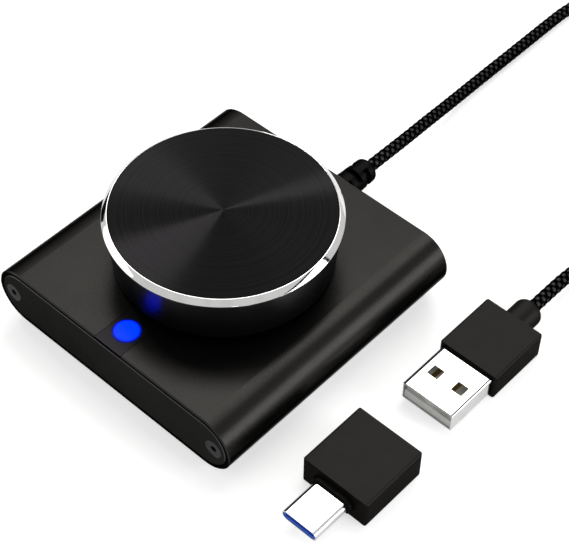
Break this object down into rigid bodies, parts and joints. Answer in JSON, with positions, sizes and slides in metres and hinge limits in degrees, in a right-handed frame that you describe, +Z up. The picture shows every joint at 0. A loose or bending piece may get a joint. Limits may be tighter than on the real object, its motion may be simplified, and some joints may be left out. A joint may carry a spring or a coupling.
{
  "type": "usb volume control knob",
  "caption": "Flat metal desk pad with a large rotary push knob, blue indicator light, braided cord with rectangular plug and a separate slide-on plug adapter.",
  "frame": {"origin": "centre of the foot pad's underside, on the table and on the knob's axis", "axes": "+Z up along the knob's axis, -Y towards the user through the front plate, +X to the user's right, towards the plug and adapter"},
  "size_m": [0.0959, 0.163, 0.0267],
  "materials": {
    "silicone_pad": "matt silicone",
    "anodised_housing": "satin black anodised",
    "anodised_plate": "satin black anodised with bright cut edge",
    "black_screws": "black oxide",
    "smoked_window": "satin smoked plastic",
    "blue_lens": "lit blue diffusing plastic",
    "circuit_board": "green solder mask",
    "led_package": "clear white package",
    "chip_black": "moulded epoxy",
    "plated_steel": "nickel plated",
    "passives": "ceramic",
    "encoder_plastic": "moulded plastic",
    "spring_metal": "spring metal",
    "black_moulding": "matt moulded rubber",
    "braided_cord": "black nylon braid with grey flecks",
    "core_insulation": "coloured core insulation",
    "white_plastic": "moulded plastic",
    "black_strap": "woven hook and loop strap",
    "plug_moulding": "fine matt moulded plastic",
    "nickel_shell": "bright nickel",
    "gold_contacts": "gold flash",
    "hub_plastic": "moulded plastic",
    "knob_side": "black anodised with fine knurl",
    "spun_cap": "black spun face with bright cut bevel",
    "dark_plastic": "moulded plastic",
    "blue_plastic": "moulded blue plastic"
  },
  "bodies": {
    "base": {"base_pad": "silicone_pad", "housing_sleeve": "anodised_housing", "front_plate": "anodised_plate", "rear_plate": "anodised_plate", "front_screws": "black_screws", "rear_screws": "black_screws", "indicator_strip": "smoked_window", "led_lens": "blue_lens", "main_board": "circuit_board", "status_led": "led_package", "controller_chip": "chip_black", "crystal_can": "plated_steel", "chip_passives": "passives", "encoder_base": "encoder_plastic", "encoder_body": "encoder_plastic", "encoder_bracket": "plated_steel", "encoder_bushing": "plated_steel", "bushing_washer": "plated_steel", "bushing_nut": "plated_steel", "encoder_pins": "plated_steel", "switch_dome": "spring_metal", "detent_spring": "spring_metal", "strain_relief": "black_moulding", "inner_jacket": "braided_cord", "cord_wires": "core_insulation", "wire_housing": "white_plastic", "board_socket": "white_plastic", "cord_to_coil": "braided_cord", "cord_coil": "braided_cord", "coil_ties": "black_strap", "cord_to_plug": "braided_cord", "usb_a_overmould": "plug_moulding", "usb_a_shell": "nickel_shell", "usb_a_tongue": "white_plastic", "usb_a_contacts": "gold_contacts"},
    "plunger": {"switch_plunger": "white_plastic"},
    "dial": {"encoder_rotor": "white_plastic", "encoder_shaft": "plated_steel", "shaft_clip": "spring_metal", "knob_hub": "hub_plastic", "knob_shell": "knob_side", "knob_cap": "spun_cap"},
    "adapter": {"adapter_housing": "plug_moulding", "adapter_socket": "nickel_shell", "adapter_tongue": "dark_plastic", "adapter_contacts": "gold_contacts", "usb_c_shell": "nickel_shell", "usb_c_core": "blue_plastic"}
  },
  "joints": [
    {"name": "press", "type": "slide", "parent": "base", "child": "plunger", "axis": [0, 0, -1], "range_m": [0, 0.0005], "stiffness_N_per_m": 6000, "springref_m": -0.0004},
    {"name": "turn", "type": "hinge", "parent": "plunger", "child": "dial", "pos_m": [0, 0, 0.015], "axis": [0, 0, 1], "continuous": true},
    {"name": "adapter_fit", "type": "slide", "parent": "base", "child": "adapter", "axis": [0, 1, 0], "range_m": [0, 0.0225]}
  ]
}
